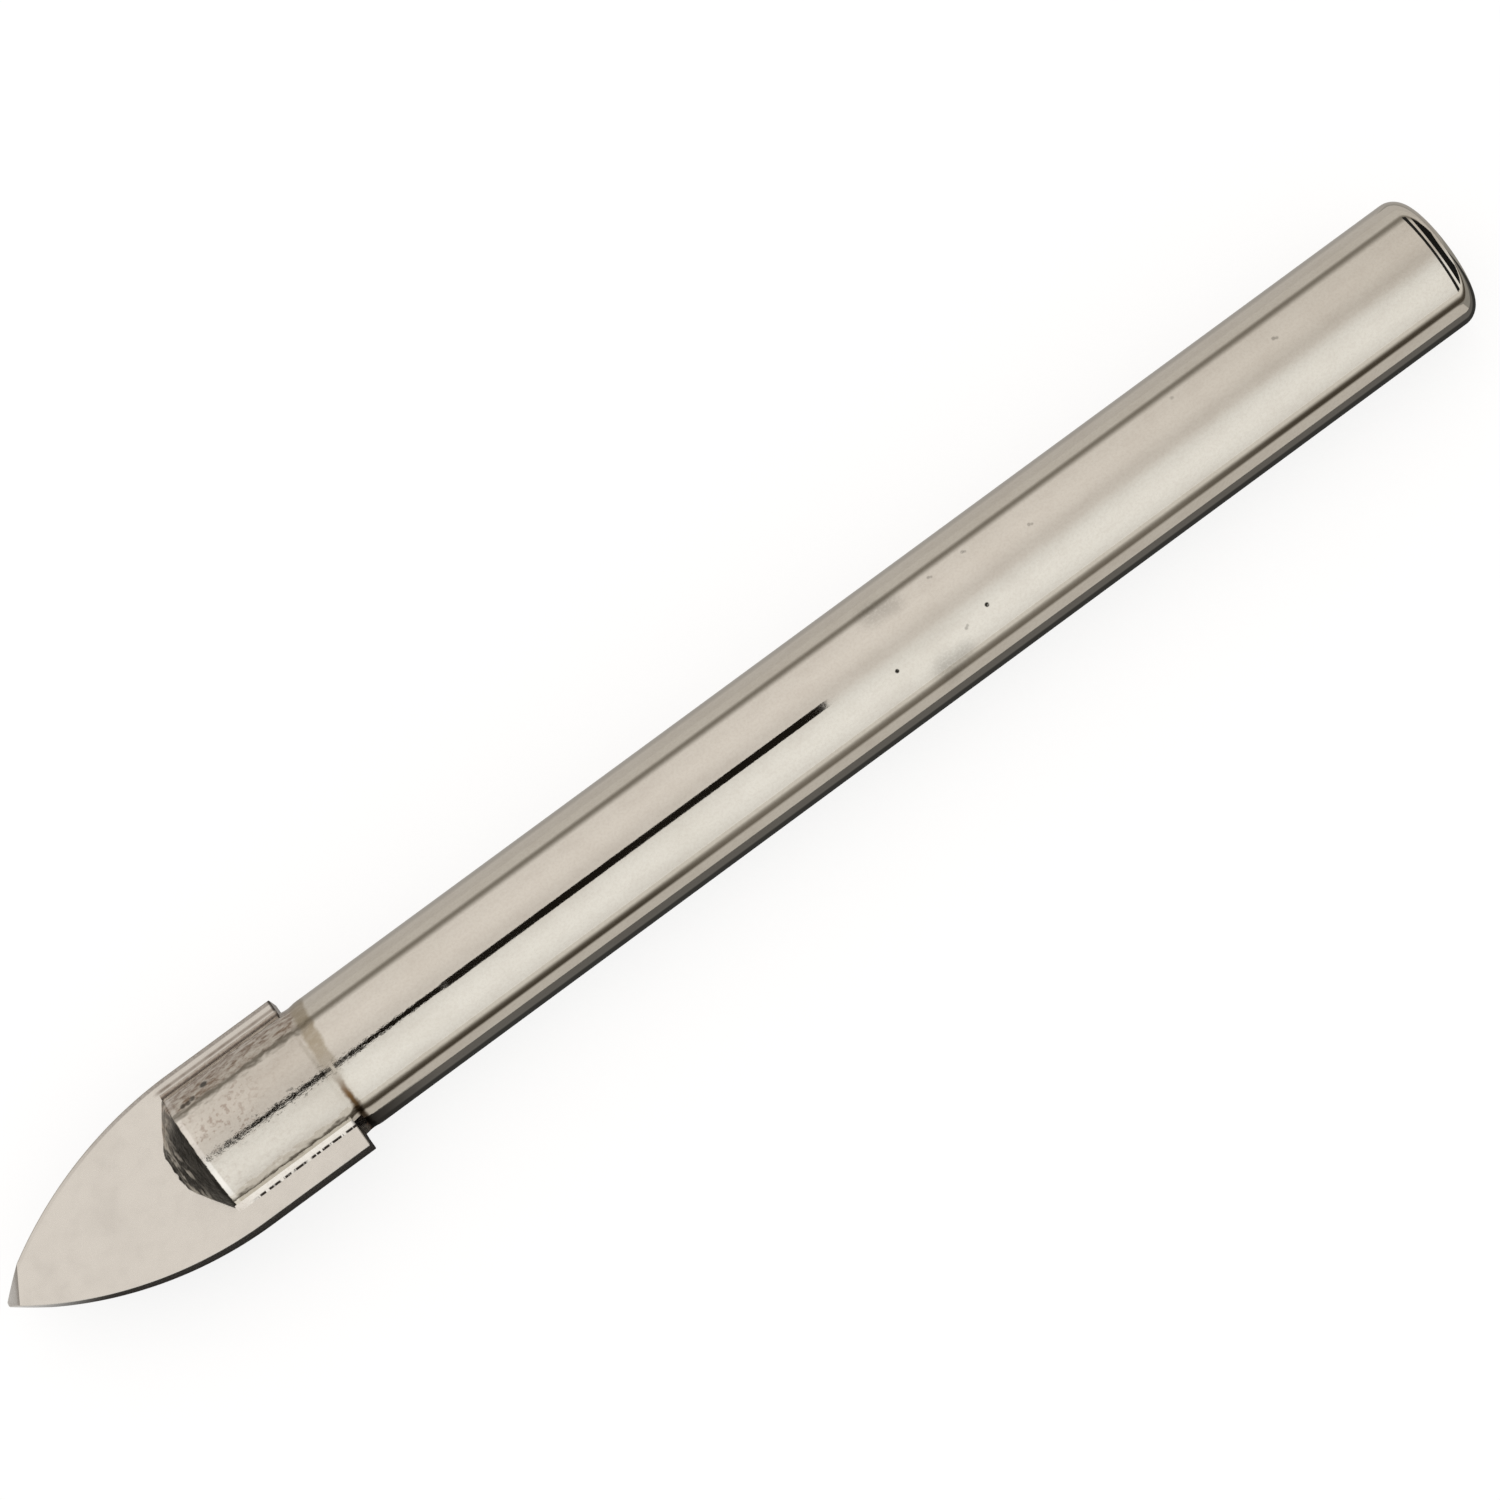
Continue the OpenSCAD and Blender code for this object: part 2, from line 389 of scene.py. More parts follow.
def burnt_nose(g, p, base, scale):
    """The dark, scaly nose with its turned streaks, and the worn edge behind it with a painted highlight,
    stronger on the near side
    """
    shoulder = p.shoulder_x
    # Painted highlight: a brighter colour along the worn edge behind the nose, stronger on the near side
    highlight_band = g.band(g.x, shoulder + 0.12 * MM, shoulder + 0.32 * MM, 0.05 * MM)
    base = g.over(base, p.worn_edge_highlight, highlight_band, g.ramp(g.y, -2.4 * MM, 1.3 * MM, 0.75, 0.35))
    rim = g.math("MULTIPLY_ADD", scale, 0.10 * MM, g.x)
    nose = g.ramp(rim, shoulder + 0.11 * MM, shoulder + 0.16 * MM, 1.0, 0.0)
    turned = g.noise(0.17 * MM, 4.0, (1, 0.16, 0.16), 0.6, (0.9, 0.2, 0))
    inner = g.times(
        g.ramp(g.x, shoulder - 0.9 * MM, shoulder - 0.3 * MM, 1.0, 0.05),
        g.ramp(g.x, p.nose_x + 0.12 * MM, p.nose_x + 0.26 * MM),
    )
    high = g.ramp(g.y, 0.5 * MM, 1.7 * MM)
    pale = g.times(g.math("MAXIMUM", inner, high), g.ramp(turned, 0.44, 0.58, 0.0, 0.7))
    pale = g.math("ADD", pale, g.times(high, 0.3), clamp=True)
    base = g.over(base, p.soot_and_painted_dark, nose, g.math("SUBTRACT", 1.0, pale))
    return base, nose


def flank_depth(g, p, axis_z):
    """Depth of a point behind the arched and straight flanks, which lean with the height"""
    half, _, radius = arch_of(p)
    level = g.math("SUBTRACT", g.z, axis_z)
    out = g.times(g.math("MULTIPLY_ADD", level, math.tan(p.relief), g.y), math.cos(p.relief))
    ahead = g.math("MAXIMUM", g.math("SUBTRACT", p.tip_x + p.arch, g.x), 0.0)
    across = g.math("ADD", g.math("ABSOLUTE", out), (radius - half) * MM)
    from_centre = g.math("SQRT", g.math("ADD", g.times(ahead, ahead), g.times(across, across)))
    return g.math("SUBTRACT", radius * MM, from_centre)


def ground_carbide(p, shank):
    g = Graph("ground_carbide")
    mottle = g.noise(0.7 * MM, 4.0)
    cloud = g.noise(2.2 * MM, 2.0, shift=(0.5, 0.1, 0))
    grain = g.noise(0.09 * MM, 3.0)
    base = g.over(p.carbide, p.grind, g.ramp(mottle, 0.4, 0.8, 0.0, 0.10))
    base = g.over(base, p.grind, g.ramp(cloud, 0.45, 0.75, 0.0, 0.09))
    # A grey line inside the far edge, fading towards the point: a painted dark reflection
    far = g.times(
        g.ramp(g.y, 0.0, 1.0 * MM),
        g.ramp(g.x, p.tip_x + 3.0 * MM, p.tip_x + 10.0 * MM, 0.15, 1.0),
    )
    line = g.band(flank_depth(g, p, shank.axis_z), 0.03 * MM, 0.17 * MM, 0.03 * MM)
    base = g.over(base, p.grind, line, far, g.ramp(grain, 0.3, 0.7, 0.7, 1.0))
    # A dull strip between that line and the brazed joint, and near-black painted shade at the far back corner
    joint = g.ramp(g.x, shank.shoulder_x - 0.3 * MM, shank.shoulder_x + 0.2 * MM)
    strip = g.band(g.y, 3.08 * MM, 3.21 * MM, 0.05 * MM)
    base = g.over(base, p.burnt, strip, joint, g.ramp(mottle, 0.35, 0.65, 0.6, 0.85))
    base = g.over(base, p.burnt, g.ramp(g.y, 2.8 * MM, 2.9 * MM), joint, 0.13)
    # Painted shade: the far back corner beside the pocket is painted near-black
    corner = g.ramp(g.x, p.back_x - 0.14 * MM, p.back_x - 0.06 * MM)
    base = g.over(base, shank.soot_and_painted_dark, corner, g.ramp(g.y, 2.9 * MM, 3.1 * MM), 0.85)
    # The flanks and facets, which face away from the flats, are painted darker: partly the colour of their
    # grind, partly painted shade
    geometry = g.tree.nodes.new("ShaderNodeNewGeometry")
    facing = g.add("ShaderNodeSeparateXYZ", geometry.outputs["Normal"]).outputs[2]
    flank = g.ramp(g.math("ABSOLUTE", facing), 0.75, 0.95, 1.0, 0.0)
    base = g.over(base, p.grind, flank, 0.8)
    roughness = g.ramp(grain, 0.3, 0.7, 0.25, 0.31)
    lines = g.noise(0.05 * MM, 2.0, (0.06, 1, 1))
    height = g.math("ADD", g.times(grain, 0.5), g.times(lines, 0.5))
    return g.finish(base, roughness, g.bump(height, 0.0012 * MM))


def braze_metal(p, blade):
    g = Graph("braze_metal")
    back = blade.back_x
    fine = g.noise(0.14 * MM, 4.0)
    base = g.over(p.bright, p.rust, g.ramp(fine, 0.5, 0.75, 0.0, 0.12))
    # The burnt, broken line along the toe of the near fillets
    base = g.over(base, p.rust, g.ramp(g.x, back - 5.8 * MM, back - 4.8 * MM, 0.16, 0.0))
    near = g.band(g.y, -3.12 * MM, -2.94 * MM, 0.02 * MM)
    dashes = g.ramp(g.noise(0.19 * MM, 2.0, (1, 0.2, 0.2)), 0.40, 0.52)
    base = g.over(base, p.soot_and_painted_dark, near, g.ramp(g.x, back - 5.2 * MM, back - 4.6 * MM), dashes)
    # The soft brown lines along the far fillets
    far = g.times(g.ramp(g.y, 2.5 * MM, 2.6 * MM), g.ramp(g.y, 2.90 * MM, 2.98 * MM, 1.0, 0.3))
    base = g.over(base, p.rust, far, g.ramp(fine, 0.3, 0.65, 0.35, 0.6))
    base = g.over(base, p.soot_and_painted_dark, g.band(g.y, 2.66 * MM, 2.86 * MM, 0.06 * MM), 0.6)
    # Rust behind the blade, over near-black that is painted shade in the pocket
    rusted = g.ramp(g.x, back + 0.1 * MM, back + 0.4 * MM)
    burnt = g.over(p.soot_and_painted_dark, p.rust, g.ramp(fine, 0.5, 0.65), rusted)
    base = g.over(base, burnt, g.ramp(g.x, back - 0.15 * MM, back + 0.05 * MM))
    roughness = g.ramp(fine, 0.3, 0.7, 0.14, 0.26)
    return g.finish(base, roughness, g.bump(fine, 0.012 * MM))


# The meshes and these sizes of theirs are in millimetres, and put() scales a finished mesh to metres

# Distance within which cut points merge, and distance within which a point counts as being at a place
MERGE = 1e-5
SAME = 1e-4
# Steps of the turned rod and of an arched edge
ROD_STEPS = 192
ARCH_STEPS = 48
# Cells of noise for each millimetre, and weight, of each layer of the nose's unevenness
NOSE_GRAIN = ((3.1, 0.5), (7.3, 0.35))
# Turn between two faces of the blade above which their edge is worn
WORN_TURN = math.radians(20)
# How far a fillet reaches under its cheek, and the share by which its face is hollow
FILLET_ROOT = 0.12
FILLET_HOLLOW = 0.08
# How far the braze film stays inside the cheeks, and the steps of its outline along the nose
FILM_INSET = 0.22
FILM_STEPS = 8


def put(name, bm, material, node, sharp_degrees=28):
    """Makes a piece from a bmesh in millimetres, on the body and in place of its solid"""
    bmesh.ops.recalc_face_normals(bm, faces=bm.faces)
    bmesh.ops.transform(bm, matrix=Matrix.Scale(MM, 4), verts=bm.verts)
    mesh = mesh_of(name, bm)
    mesh.shade_smooth()
    mesh.set_sharp_from_angle(angle=math.radians(sharp_degrees))
    mesh.materials.append(material)
    piece = bpy.data.objects.new(name, mesh)
    bpy.context.scene.collection.objects.link(piece)
    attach(piece, "root")
    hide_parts(node)


def mesh_of(name, bm):
    mesh = bpy.data.meshes.new(name)
    bm.to_mesh(mesh)
    bm.free()
    return mesh


def everything(bm):
    return bm.verts[:] + bm.edges[:] + bm.faces[:]


def new_points(made):
    """The vertices among what an operator made"""
    return [v for v in made if isinstance(v, bmesh.types.BMVert)]


def closed_outline(bm, points):
    """A flat face with the given corners"""
    ring = [bm.verts.new(point) for point in points]
    edges = [bm.edges.new(pair) for pair in zip(ring, ring[1:] + ring[:1])]
    return bmesh.ops.contextual_create(bm, geom=edges)["faces"]


def loop_at(bm, x, radius, axis_z):
    """Edges of the turned circle at a place along the axis"""

    def there(v):
        return abs(v.co.x - x) < SAME and abs(math.hypot(v.co.y, v.co.z - axis_z) - radius) < SAME

    return [e for e in bm.edges if all(there(v) for v in e.verts)]


def bevel(bm, edges, width, segments):
    bmesh.ops.bevel(
        bm, geom=edges, offset=width, offset_type="OFFSET", segments=segments, profile=0.5,
        affect="EDGES", material=-1, clamp_overlap=False,
    )


def cut_across(bm, geom, place, normal):
    bmesh.ops.bisect_plane(bm, geom=geom, dist=MERGE, plane_co=place, plane_no=normal)


def cut_slot(bm, end_x, half, axis_z):
    """Cuts the slot across the front of the rod and closes its three walls"""
    levels = (axis_z + half, axis_z - half)
    cut_across(bm, everything(bm), (end_x, 0, 0), ALONG)
    for level in levels:
        front = [f for f in bm.faces if f.calc_center_median().x < end_x]
        edges = list({e for f in front for e in f.edges})
        verts = list({v for f in front for v in f.verts})
        cut_across(bm, verts + edges + front, (0, 0, level), UP)
    inside = []
    for f in bm.faces:
        middle = f.calc_center_median()
        if middle.x < end_x - MERGE and abs(middle.z - axis_z) < half - MERGE:
            inside.append(f)
    bmesh.ops.delete(bm, geom=inside, context="FACES")
    walls = [
        lambda v: abs(v.co.z - levels[0]) < SAME,
        lambda v: abs(v.co.z - levels[1]) < SAME,
        lambda v: abs(v.co.x - end_x) < SAME,
    ]
    for wall in walls[:2]:
        corners = [v for v in bm.verts if v.is_boundary and wall(v) and walls[2](v)]
        bmesh.ops.contextual_create(bm, geom=corners)
    rims = [e for e in bm.edges if e.is_boundary or e.is_wire]
    for wall in walls:
        bmesh.ops.contextual_create(bm, geom=[e for e in rims if all(wall(v) for v in e.verts)])


def roughen_nose(bm, nose_x, end_x, depth):
    """Eats unevenly into the front of the nose, never outwards"""
    for v in bm.verts:
        share = (end_x - v.co.x) / (end_x - nose_x)
        if share > 0:
            eaten = 0.5 + sum(weight * noise.noise(v.co * cells) for cells, weight in NOSE_GRAIN)
            bmesh.ops.translate(bm, verts=[v], vec=(depth * min(max(eaten, 0), 1) * share, 0, 0))


def shank_mesh(p):
    r, axis_z = p.radius / MM, p.axis_z / MM
    nose_x, back_x, ring_x = p.nose_x / MM, p.back_x / MM, p.slot_end_x / MM
    shoulder_x, nose_r = p.shoulder_x / MM, p.nose_radius / MM
    end_round, edge_break = p.end_round / MM, p.edge_break / MM
    ring = p.ring_width / MM / 2
    groove = r - p.ring_depth / MM
    groove_round, rim_round = 0.55 * ring, 0.25 * ring
    profile = (
        (nose_x, 0), (nose_x, nose_r), (shoulder_x, r), (ring_x - ring, r), (ring_x, groove),
        (ring_x + ring, r), (back_x, r), (back_x, 0),
    )
    bm = bmesh.new()
    line = [bm.verts.new((x, 0, axis_z + out)) for x, out in profile]
    for pair in zip(line, line[1:]):
        bm.edges.new(pair)
    bmesh.ops.spin(
        bm, geom=everything(bm), cent=(0, 0, axis_z), axis=ALONG, angle=math.tau, steps=ROD_STEPS,
        use_merge=True,
    )
    bmesh.ops.remove_doubles(bm, verts=bm.verts, dist=MERGE)
    bevel(bm, loop_at(bm, back_x, r, axis_z), end_round, segments=14)
    bevel(bm, loop_at(bm, ring_x, groove, axis_z), groove_round, segments=6)
    rims = loop_at(bm, ring_x - ring, r, axis_z) + loop_at(bm, ring_x + ring, r, axis_z)
    bevel(bm, rims, rim_round, segments=3)
    front = loop_at(bm, shoulder_x, r, axis_z) + loop_at(bm, nose_x, nose_r, axis_z)
    bevel(bm, front, edge_break, segments=3)
    # Loops that keep the rounded edges from bending the smooth shading along the rod
    held = (
        shoulder_x + 1.5 * edge_break, ring_x - 1.5 * ring, ring_x + 1.5 * ring, back_x - 1.05 * end_round,
    )
    for x in held:
        cut_across(bm, everything(bm), (x, 0, 0), ALONG)
    roughen_nose(bm, nose_x, shoulder_x - 2 * edge_break, p.ragged / MM)
    cut_slot(bm, ring_x, p.slot_width / MM / 2, axis_z)
    return bm


def arch_of(p):
    """Half width, half chisel and radius of the pointed arch in mm, drawn square to the relieved flanks"""
    lean = math.tan(p.relief)
    flank = (p.width - p.thickness * lean) / MM / 2 * math.cos(p.relief)
    chisel = p.chisel / MM / 2 * math.cos(p.relief)
    radius = ((p.arch / MM) ** 2 + (flank - chisel) ** 2) / (2 * (flank - chisel))
    return flank, chisel, radius


def blade_mesh(p, axis_z):
    tip, back, half_t = p.tip_x / MM, p.back_x / MM, p.thickness / MM / 2
    lean = math.tan(p.relief)
    flank, chisel, radius = arch_of(p)
    arch = p.arch / MM
    bm = bmesh.new()
    # Half the pointed arch, turned about its centre, then drawn on along the straight side
    start = bm.verts.new((tip, chisel, 0))
    bmesh.ops.spin(
        bm, geom=[start], cent=(tip + arch, flank - radius, 0), axis=-UP,
        angle=math.asin(arch / radius), steps=ARCH_STEPS,
    )
    top = max(bm.verts, key=lambda v: v.co.x)
    drawn = bmesh.ops.extrude_vert_indiv(bm, verts=[top])["verts"]
    bmesh.ops.translate(bm, verts=drawn, vec=(back - top.co.x, 0, 0))
    # The whole outline of the lower face, raised along the lean of the flanks
    bmesh.ops.mirror(bm, geom=everything(bm), axis="Y", merge_dist=-1)
    for x in (tip, back):
        bmesh.ops.contextual_create(bm, geom=[v for v in bm.verts if abs(v.co.x - x) < SAME])
    bmesh.ops.scale(bm, verts=bm.verts, vec=(1, 1 / math.cos(p.relief), 1))
    bmesh.ops.translate(bm, verts=bm.verts, vec=(0, half_t * lean, axis_z - half_t))
    bottom = bmesh.ops.contextual_create(bm, geom=bm.edges[:])["faces"]
    raised = bmesh.ops.extrude_face_region(bm, geom=bottom, use_keep_orig=True)["geom"]
    bmesh.ops.translate(bm, verts=new_points(raised), vec=(0, -2 * half_t * lean, 2 * half_t))
    bmesh.ops.recalc_face_normals(bm, faces=bm.faces)
    # The two chisel facets
    tilt, skew = p.facet_tilt, p.facet_skew
    normal = Vector((-math.sin(tilt) * math.cos(skew), math.sin(tilt) * math.sin(skew), math.cos(tilt)))
    for way in (1, -1):
        cut = bmesh.ops.bisect_plane(
            bm, geom=everything(bm), dist=MERGE, plane_co=(tip, 0, axis_z),
            plane_no=(normal.x, way * normal.y, way * normal.z), clear_outer=True,
        )["geom_cut"]
        bmesh.ops.contextual_create(bm, geom=[e for e in cut if isinstance(e, bmesh.types.BMEdge)])
    bmesh.ops.recalc_face_normals(bm, faces=bm.faces)
    bmesh.ops.dissolve_degenerate(bm, dist=SAME, edges=bm.edges)
    edges = [e for e in bm.edges if len(e.link_faces) == 2 and e.calc_face_angle() > WORN_TURN]
    bevel(bm, edges, p.edge_wear / MM, segments=2)
    return bm


def fillet_strip(bm, corner, toe, top, start_x, end_x):
    """One hollow-faced strip of braze along a corner of cheek and blade"""
    middle = ((toe + top) / 2).lerp(corner, FILLET_HOLLOW)
    section = [corner, toe, toe.lerp(middle, 0.6), middle, middle.lerp(top, 0.4), top]
    front = closed_outline(bm, [(start_x, y, z) for y, z in section])
    drawn = bmesh.ops.extrude_face_region(bm, geom=front)["geom"]
    bmesh.ops.translate(bm, verts=new_points(drawn), vec=(end_x - start_x, 0, 0))


def braze_mesh(p, shank, blade):
    axis_z, r = shank.axis_z / MM, shank.radius / MM
    half_t, half_slot = blade.thickness / MM / 2, shank.slot_width / MM / 2
    back_x, shoulder_x = blade.back_x / MM, shank.shoulder_x / MM
    reach = p.fillet / MM
    bm = bmesh.new()
    # A fillet along each of the four corners of cheek and blade
    corner_y = math.sqrt(r * r - half_t * half_t)
    angle = math.asin(half_t / r) + reach / r
    root = Vector((corner_y - FILLET_ROOT, half_t))
    toe = Vector((corner_y + reach, half_t))
    top = Vector((r * math.cos(angle), r * math.sin(angle)))
    for up in (1, -1):
        for side in (1, -1):
            place = [Vector((side * q.x, axis_z + up * q.y)) for q in (root, toe, top)]
            fillet_strip(bm, *place, shoulder_x, back_x)
    # The fill behind the blade, which stays below the shank's surface
    fill = bmesh.ops.create_cube(bm, size=1)["verts"]
    wide = 2 * (r - p.recess / MM)
    deep = (shank.slot_end_x - blade.back_x) / MM
    bmesh.ops.scale(bm, verts=fill, vec=(deep, wide, 2 * half_slot))
    bmesh.ops.translate(bm, verts=fill, vec=(back_x + deep / 2, 0, axis_z))
    # The film on each face of the blade, which stays a little inside the cheeks and the worn nose
    nose = Vector((shank.nose_x / MM, shank.nose_radius / MM))
    sides = []
    for step in range(FILM_STEPS + 1):
        x, cone = nose.lerp(Vector((shoulder_x, r)), step / FILM_STEPS)
        sides.append((x + FILM_INSET, math.sqrt(cone * cone - half_slot * half_slot) - FILM_INSET))
    sides.append((back_x, sides[-1][1]))
    outline = sides + [(x, -y) for x, y in reversed(sides)]
    for up in (1, -1):
        film = closed_outline(bm, [(x, y, axis_z + up * half_t) for x, y in outline])
        raised = bmesh.ops.extrude_face_region(bm, geom=film)["geom"]
        bmesh.ops.translate(bm, verts=new_points(raised), vec=(0, 0, up * (half_slot - half_t)))
    return bm


class DRILLBIT_OT_shank(bpy.types.Operator):
    """Build the turned, slotted and plated shank"""

    bl_idname = "drill_bit.shank"
    bl_label = "Build Shank"

    def execute(self, context):
        p = settings().shank
        put("shank_body", shank_mesh(p), plated_steel(p), "shank")
        return {"FINISHED"}


class DRILLBIT_OT_blade(bpy.types.Operator):
    """Build the ground carbide blade"""

    bl_idname = "drill_bit.blade"
    bl_label = "Build Blade"

    def execute(self, context):
        p = settings().blade
        bm = blade_mesh(p, settings().shank.axis_z / MM)
        put("carbide_blade", bm, ground_carbide(p, settings().shank), "carbide_tip", 15)
        return {"FINISHED"}


class DRILLBIT_OT_braze(bpy.types.Operator):
    """Build the brazed joint between cheeks and blade"""

    bl_idname = "drill_bit.braze"
    bl_label = "Build Braze"

    def execute(self, context):
        p = settings()
        bm = braze_mesh(p.braze, p.shank, p.blade)
        put("braze_joint", bm, braze_metal(p.braze, p.blade), "braze", 60)
        return {"FINISHED"}


# The tent's cloth: sine of the angle from the camera towards the near side, level, and share of the
# far side's tint
TENT = (
    (-1.0, 0.81, 1.0), (-0.95, 0.815, 1.0), (-0.70, 0.87, 1.0), (-0.50, 0.843, 1.0), (-0.40, 0.807, 1.0),
    (-0.215, 0.745, 1.0), (-0.06, 0.76, 0.9), (0.06, 0.83, 0.4), (0.215, 0.909, 0.0), (0.32, 0.947, 0.0),
    (0.50, 0.996, 0.0), (0.70, 0.996, 0.0), (0.85, 0.93, 0.0), (0.91, 0.87, 0.1), (1.0, 0.85, 0.2),
)
TENT_STRENGTH = 1.075
# Where the tent dims towards the back end of the bit, and by how much
TENT_END = (0.08, 0.30)
TENT_END_SHADE = (0.79, 0.78, 0.755)
# The part of that dimming which is left on the near side, and where it changes over
TENT_END_NEAR = 0.28
TENT_END_SIDE = (-0.15, 0.20)
# What makes the floor white to the eye and in reflections
FLOOR_LIFT = 0.78
# Softness of a card with hard ends and sides, and the least fade that a card's ends and sides have
HARD = (0, 0, 0)
LEAST_FADE = 1e-6
# The slit that the camera looks through, narrower towards the point: start, end and width of each part
SLITS = (
    ("camera_slit", -0.0151, 0.0066, 0.0057),
    ("thin_slit", -0.0209, -0.0149, 0.0041),
    ("slit_end", -0.0277, -0.0209, 0.0038),
)
SLIT_TURN = 0.43
SLIT_DISTANCE = 0.030
SLIT_LEVEL = (0.012, 0.01, 0.008)
SLIT_SOFT = (0.00015, 0, 0)
# The hem and the skirt on the tent's far side: degrees from the camera, distance, size, level and softness
FAR_CARDS = (
    ("far_hem", -84.8, 0.30, (0.9, 0.1166), (0.262, 0.24, 0.213), (0, 0.0662, 0.040)),
    ("far_skirt", -101, 0.32, (0.9, 0.115), (0.645, 0.615, 0.585), HARD),
)
# Cloth, hems and shades on the floor: middle, size, level, and softness of the ends, the near side
# and the far side
FLOOR_CARDS = (
    ("far_floor", (0, 0.182, 0.0002), (0.6, 0.356), (0.60, 0.57, 0.545), HARD),
    # A dark sheet for the bit's shadow on the floor's far side: a painted shadow that shows in reflections
    ("far_contact", (0.031, 0.0075, 0.0004), (0.107, 0.011), (0.43, 0.41, 0.39), (0, 0, 0.006)),
    ("near_cloth", (0, -0.156, 0.0001), (0.6, 0.290), (0.80, 0.775, 0.74), HARD),
    ("near_floor", (0, -0.0082, 0.0002), (0.2, 0.0076), (0.63, 0.60, 0.57), HARD),
    ("near_hem", (0, -0.0251, 0.0003), (0.2, 0.0298), (0.20, 0.178, 0.152), (0, 0.0270, 0.0027)),
    ("front_hem", (-0.05, -0.0189, 0.00033), (0.1, 0.0162), (0.072, 0.06, 0.046), (0.0065, 0.0140, 0.0025)),
    ("rear_hem", (0.0612, -0.0184, 0.00033), (0.08, 0.0152), (0.072, 0.06, 0.046), (0.0090, 0.0110, 0.0025)),
    ("contact_shade", (0.031, -0.0028, 0.0005), (0.107, 0.0028), (0.042, 0.042, 0.041), (0, 0.0005, 0)),
    ("blade_shade", (-0.0268, -0.0018, 0.0006), (0.0214, 0.0094), (0.03, 0.028, 0.026), (0.0045, 0, 0)),
    ("back_floor", (0.10, 0, 0.0003), (0.126, 0.024), (0.33, 0.32, 0.30), HARD),
)
# The shade beside the shank, which runs a little aslant
NEAR_SHADE = ("near_shade", (0.031, -0.0039, 0.0004), (0.107, 0.0036), (0.15, 0.145, 0.14), HARD)
NEAR_SHADE_ALONG = Vector((1, 0.012, 0))
# The dark ribs of the tent beyond the back end: start and end along the axis, and level
RIBS = (
    ("back_rib", (0.0945, 0.146), (0.02, 0.02, 0.02)),
    ("back_mouth", (0.215, 0.80), (0.012, 0.012, 0.012)),
)
RIB_RADIUS = 0.25
RIB_TURN = (-87, 80)
RIB_STEPS = 48
# Half the width of the floor, and the width of the camera's sensor in mm
FLOOR_REACH = 1.5
SENSOR = 36


def direction(p, degrees):
    """A direction square to the bit, at an angle from the camera towards the near side"""
    angle = math.radians(degrees) + p.camera_tilt
    return Vector((0, -math.sin(angle), math.cos(angle)))


def axes(x, y, z):
    """The turn that gives an object these axes"""
    return Matrix((x, y, z)).transposed().to_4x4()


def link_stage(name, bm, material):
    mesh = mesh_of(name, bm)
    mesh.materials.append(material)
    obj = bpy.data.objects.new(name, mesh)
    bpy.context.scene.collection.objects.link(obj)
    return obj


def leave_to_reflections(obj):
    obj.visible_camera = False
    obj.visible_shadow = False
    obj.visible_diffuse = False


def card(name, centre, size, level, soft, facing=UP, along=ALONG):
    """A flat card of the light tent, which shows only as a reflection and can fade at its ends and sides"""
    along = (along - facing * facing.dot(along)).normalized()
    half_long, half_wide = size[0] / 2, size[1] / 2
    bm = bmesh.new()
    bmesh.ops.create_grid(bm, x_segments=1, y_segments=1, size=0.5)
    bmesh.ops.scale(bm, verts=bm.verts, vec=(*size, 1))
    g = Graph(name)
    ends, low, high = (max(fade, LEAST_FADE) for fade in soft)
    share = g.times(
        g.ramp(g.math("ABSOLUTE", g.x), half_long - ends, half_long, 1.0, 0.0),
        g.ramp(g.y, -half_wide, low - half_wide),
        g.ramp(g.y, half_wide - high, half_wide, 1.0, 0.0),
    )
    clear = g.tree.nodes.new("ShaderNodeBsdfTransparent")
    g.show(g.add("ShaderNodeMixShader", share, clear.outputs[0], g.glow(level).outputs[0]))
    obj = link_stage(name, bm, g.material)
    obj.matrix_world = Matrix.Translation(centre) @ axes(along, facing.cross(along), facing)
    leave_to_reflections(obj)


def rib(name, reach, level, axis, start):
    """A dark rib of the light tent, bent round the bit's axis, which shows only as a reflection"""
    bm = bmesh.new()
    edge = bm.edges.new([bm.verts.new(axis + start * RIB_RADIUS + ALONG * x) for x in reach])
    bmesh.ops.spin(
        bm, geom=[*edge.verts, edge], cent=axis, axis=ALONG,
        angle=math.radians(RIB_TURN[1] - RIB_TURN[0]), steps=RIB_STEPS,
    )
    g = Graph(name)
    g.show(g.glow(level))
    leave_to_reflections(link_stage(name, bm, g.material))


def build_floor(p):
    bm = bmesh.new()
    bmesh.ops.create_grid(bm, x_segments=4, y_segments=4, size=FLOOR_REACH)
    g = Graph("pale_floor")
    cloth = g.add("ShaderNodeBsdfDiffuse", (*p.floor, 1))
    path = g.tree.nodes.new("ShaderNodeLightPath").outputs
    seen = g.math("MAXIMUM", path["Is Camera Ray"], path["Is Glossy Ray"])
    seen = g.math("MAXIMUM", seen, path["Is Transmission Ray"])
    lift = g.tree.nodes.new("ShaderNodeEmission")
    g.set(lift.inputs["Strength"], g.times(seen, FLOOR_LIFT))
    g.show(g.add("ShaderNodeAddShader", cloth.outputs[0], lift.outputs[0]))
    link_stage("floor", bm, g.material)


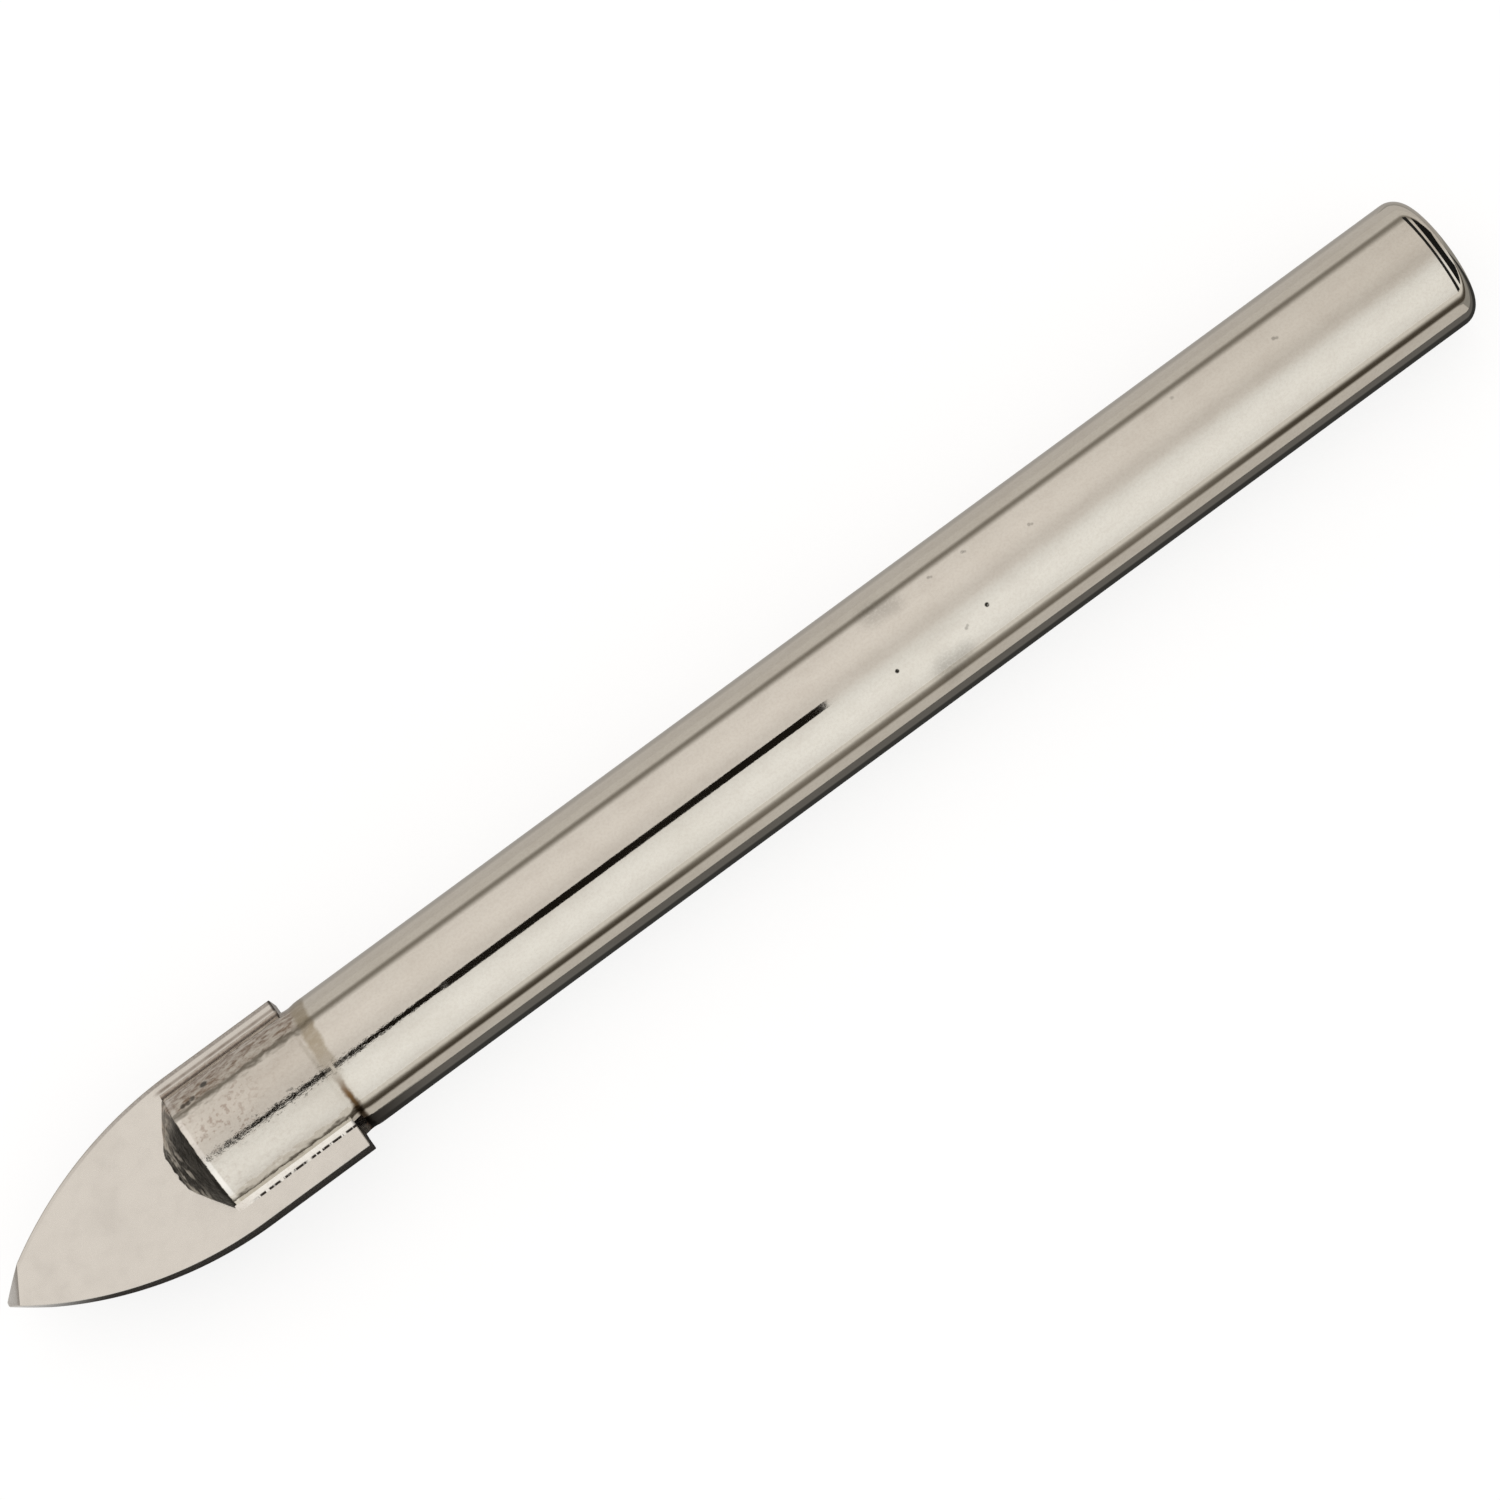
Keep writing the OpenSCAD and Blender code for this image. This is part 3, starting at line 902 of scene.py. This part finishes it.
def build_world(p):
    """A tent of white cloth, brightest beside the bit and dimmer overhead and towards its back end"""
    world = bpy.data.worlds.new("light_tent")
    bpy.context.scene.world = world
    world.use_nodes = True
    tree = world.node_tree
    back = tree.nodes["Background"]
    where = tree.nodes.new("ShaderNodeTexCoord").outputs["Generated"]
    near_side = direction(p, 90)

    def across(vector, low, high):
        dot = tree.nodes.new("ShaderNodeVectorMath")
        dot.operation = "DOT_PRODUCT"
        dot.inputs[1].default_value = vector
        tree.links.new(where, dot.inputs[0])
        ease = tree.nodes.new("ShaderNodeMapRange")
        ease.inputs["From Min"].default_value = low
        ease.inputs["From Max"].default_value = high
        tree.links.new(dot.outputs["Value"], ease.inputs["Value"])
        return ease

    cloth = tree.nodes.new("ShaderNodeValToRGB")
    tree.links.new(across(near_side, -1, 1).outputs[0], cloth.inputs[0])
    stops = cloth.color_ramp.elements
    stops.remove(stops[1])
    for place, level, warmth in TENT:
        stop = stops[0] if place == -1 else stops.new((place + 1) / 2)
        stop.color = [level * (w + (s - w) * warmth) for w, s in zip(p.white, p.shade)] + [1]
    end = across(ALONG, *TENT_END)
    end.interpolation_type = "SMOOTHSTEP"
    far = across(near_side, *TENT_END_SIDE)
    far.inputs["To Min"].default_value = 1.0
    far.inputs["To Max"].default_value = TENT_END_NEAR
    share = tree.nodes.new("ShaderNodeMath")
    share.operation = "MULTIPLY"
    tree.links.new(end.outputs[0], share.inputs[0])
    tree.links.new(far.outputs[0], share.inputs[1])
    dim = tree.nodes.new("ShaderNodeMix")
    dim.data_type = "RGBA"
    dim.blend_type = "MULTIPLY"
    tree.links.new(share.outputs[0], dim.inputs["Factor"])
    tree.links.new(cloth.outputs[0], dim.inputs[6])
    dim.inputs[7].default_value = (*TENT_END_SHADE, 1)
    tree.links.new(dim.outputs[2], back.inputs["Color"])
    back.inputs["Strength"].default_value = TENT_STRENGTH


def build_tent(p, axis):
    slit = axis + direction(p, SLIT_TURN) * SLIT_DISTANCE
    for name, start, end, width in SLITS:
        middle = slit + ALONG * (start + end) / 2
        card(name, middle, (end - start, width), SLIT_LEVEL, SLIT_SOFT, direction(p, 0))
    for name, degrees, distance, size, level, soft in FAR_CARDS:
        facing = direction(p, degrees)
        card(name, axis + facing * distance, size, level, soft, facing)
    for row in FLOOR_CARDS:
        card(*row)
    card(*NEAR_SHADE, along=NEAR_SHADE_ALONG)
    for name, reach, level in RIBS:
        rib(name, reach, level, axis, direction(p, RIB_TURN[0]))


def build_camera(p, axis):
    toward = direction(p, 0) * math.cos(p.camera_lean) - ALONG * math.sin(p.camera_lean)
    level = (ALONG - toward * ALONG.dot(toward)).normalized()
    up = toward.cross(level)
    right = level * math.cos(p.camera_roll) - up * math.sin(p.camera_roll)
    head = level * math.sin(p.camera_roll) + up * math.cos(p.camera_roll)
    lens = bpy.data.cameras.new("camera")
    lens.sensor_width = SENSOR
    lens.lens = SENSOR * p.camera_distance / p.frame_width
    camera = bpy.data.objects.new("camera", lens)
    aim = axis + ALONG * p.aim_x + up * p.aim_side
    camera.matrix_world = Matrix.Translation(aim + toward * p.camera_distance) @ axes(right, head, toward)
    bpy.context.scene.collection.objects.link(camera)
    bpy.context.scene.camera = camera


class DRILLBIT_OT_stage(bpy.types.Operator):
    """Set up the floor, the light tent and the camera"""

    bl_idname = "drill_bit.stage"
    bl_label = "Set Up Stage"

    def execute(self, context):
        p = settings().stage
        axis = Vector((0, 0, settings().shank.axis_z))
        context.scene.view_settings.view_transform = "Standard"
        build_floor(p)
        build_world(p)
        build_tent(p, axis)
        build_camera(p, axis)
        return {"FINISHED"}


class DRILLBIT_PT_panel(bpy.types.Panel):
    """Sizes and colours of the drill bit, with a button for each piece"""

    bl_label = "Drill Bit"
    bl_idname = "DRILLBIT_PT_panel"
    bl_space_type = "VIEW_3D"
    bl_region_type = "UI"
    bl_category = "Drill Bit"

    def draw(self, context):
        for part in ("shank", "blade", "braze", "stage"):
            box = self.layout.box()
            group = getattr(context.scene.drill_bit, part)
            for key in group.__annotations__:
                box.prop(group, key)
            box.operator("drill_bit." + part)


CLASSES = (
    ShankSettings, BladeSettings, BrazeSettings, StageSettings, DrillBitSettings, DRILLBIT_OT_shank,
    DRILLBIT_OT_blade, DRILLBIT_OT_braze, DRILLBIT_OT_stage, DRILLBIT_PT_panel,
)


def register():
    for cls in CLASSES:
        bpy.utils.register_class(cls)
    bpy.types.Scene.drill_bit = PointerProperty(type=DrillBitSettings)


def unregister():
    del bpy.types.Scene.drill_bit
    for cls in reversed(CLASSES):
        bpy.utils.unregister_class(cls)


def main():
    register()
    bpy.ops.drill_bit.shank()
    bpy.ops.drill_bit.blade()
    bpy.ops.drill_bit.braze()
    bpy.ops.drill_bit.stage()


if __name__ == "__main__":
    main()
